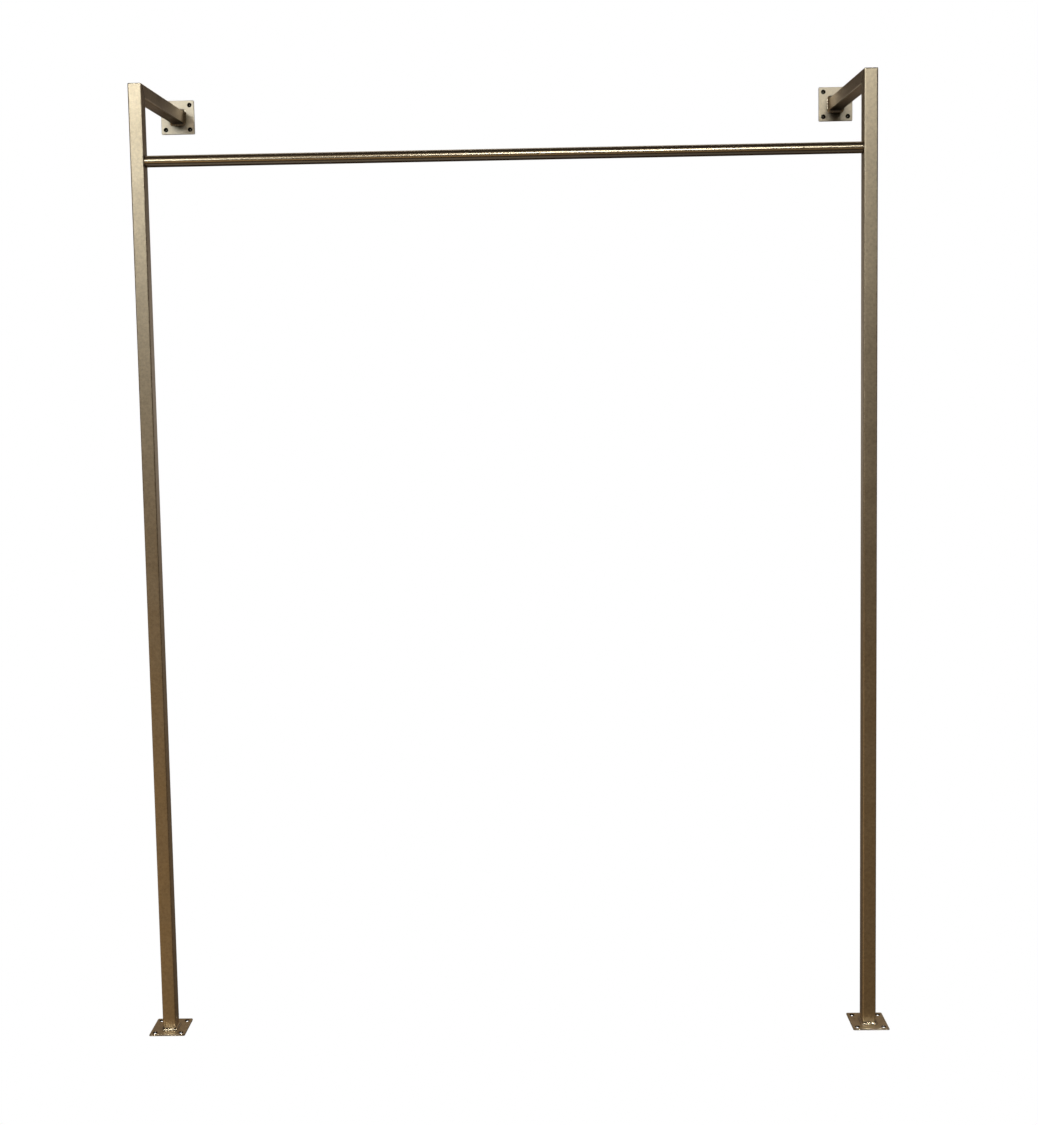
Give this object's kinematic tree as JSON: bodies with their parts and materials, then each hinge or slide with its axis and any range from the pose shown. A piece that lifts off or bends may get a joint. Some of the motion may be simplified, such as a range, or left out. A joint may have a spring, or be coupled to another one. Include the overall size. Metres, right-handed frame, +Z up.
{
  "type": "wall and floor mounted garment rail frame",
  "caption": "Open clothes rail: two square-tube posts on floor plates, each with an arm back to a wall plate, joined by one round hanging rail.",
  "frame": {"origin": "on the floor, at the middle of the overall width and of the overall depth", "axes": "+X to the right seen from the room, +Y toward the wall, +Z up"},
  "size_m": [1.65, 0.4, 2.125],
  "materials": {
    "champagne_coat": "satin metallic powder coat, champagne bronze, fine grain",
    "bare_steel": "turned mild steel",
    "screw_steel": "zinc plated"
  },
  "bodies": {
    "root": {"left_post": "champagne_coat", "right_post": "champagne_coat", "left_arm": "champagne_coat", "right_arm": "champagne_coat", "left_corner_weld": "champagne_coat", "right_corner_weld": "champagne_coat", "left_floor_plate": "champagne_coat", "right_floor_plate": "champagne_coat", "left_wall_plate": "champagne_coat", "right_wall_plate": "champagne_coat", "left_floor_weld": "champagne_coat", "right_floor_weld": "champagne_coat", "left_wall_weld": "champagne_coat", "right_wall_weld": "champagne_coat", "rail": "champagne_coat", "left_rail_plug": "bare_steel", "right_rail_plug": "bare_steel", "left_post_sleeve": "bare_steel", "right_post_sleeve": "bare_steel", "left_rail_screw": "screw_steel", "right_rail_screw": "screw_steel"}
  },
  "joints": []
}
